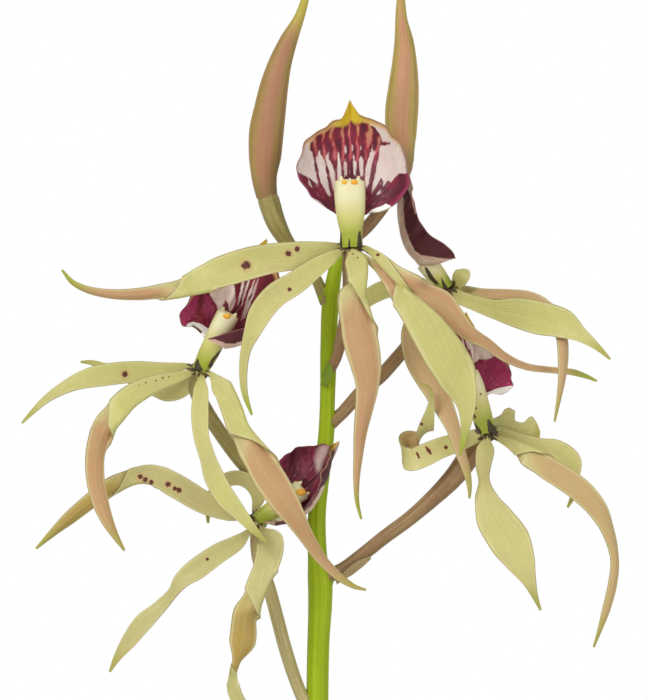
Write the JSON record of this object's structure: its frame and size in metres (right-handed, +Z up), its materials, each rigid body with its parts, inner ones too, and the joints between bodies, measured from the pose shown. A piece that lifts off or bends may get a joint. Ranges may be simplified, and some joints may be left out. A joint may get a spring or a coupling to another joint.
{
  "type": "potted orchid",
  "caption": "Cockleshell orchid in flower on an upright stem, with strap leaves and pseudobulbs, in a plain clay pot of bark.",
  "frame": {"origin": "middle of the pot's flat underside, on the surface it stands on", "axes": "+Z up along the pot's axis and the flower stem; the open flowers look towards -Y; +X to the viewer's right"},
  "size_m": [0.2394, 0.2271, 0.491],
  "materials": {
    "clay": "matte",
    "bark": "matte",
    "root": "matte",
    "pseudobulb": "satin",
    "leaf": "satin",
    "stem": "satin",
    "sheath": "matte",
    "pedicel": "satin",
    "bud": "satin",
    "tepal": "satin",
    "lip": "satin",
    "column": "satin"
  },
  "bodies": {
    "root": {"pot": "clay", "potting_bark": "bark", "rhizome": "root", "pseudobulb_new": "pseudobulb", "pseudobulb_middle": "pseudobulb", "pseudobulb_old": "pseudobulb", "leaf_new_left": "leaf", "leaf_new_right": "leaf", "leaf_middle_left": "leaf", "leaf_middle_right": "leaf", "leaf_old": "leaf", "flower_stem": "stem", "stem_sheath": "sheath", "floral_bract_a": "stem", "floral_bract_e": "sheath", "flower_a_pedicel": "pedicel", "flower_b_pedicel": "pedicel", "flower_c_pedicel": "pedicel", "flower_d_pedicel": "pedicel", "flower_e_pedicel": "pedicel", "bud_left_pedicel": "pedicel", "bud_right_pedicel": "pedicel", "bud_left": "bud", "bud_right": "bud", "flower_a_dorsal_sepal": "tepal", "flower_a_left_sepal": "tepal", "flower_a_right_sepal": "tepal", "flower_a_left_petal": "tepal", "flower_a_right_petal": "tepal", "flower_a_lip": "lip", "flower_a_column": "column", "flower_b_dorsal_sepal": "tepal", "flower_b_left_sepal": "tepal", "flower_b_right_sepal": "tepal", "flower_b_left_petal": "tepal", "flower_b_right_petal": "tepal", "flower_b_lip": "lip", "flower_b_column": "column", "flower_c_dorsal_sepal": "tepal", "flower_c_left_sepal": "tepal", "flower_c_right_sepal": "tepal", "flower_c_left_petal": "tepal", "flower_c_right_petal": "tepal", "flower_c_lip": "lip", "flower_c_column": "column", "flower_d_dorsal_sepal": "tepal", "flower_d_left_sepal": "tepal", "flower_d_right_sepal": "tepal", "flower_d_left_petal": "tepal", "flower_d_right_petal": "tepal", "flower_d_lip": "lip", "flower_d_column": "column", "flower_e_dorsal_sepal": "tepal", "flower_e_left_sepal": "tepal", "flower_e_right_sepal": "tepal", "flower_e_left_petal": "tepal", "flower_e_right_petal": "tepal", "flower_e_lip": "lip", "flower_e_column": "column"}
  },
  "joints": []
}
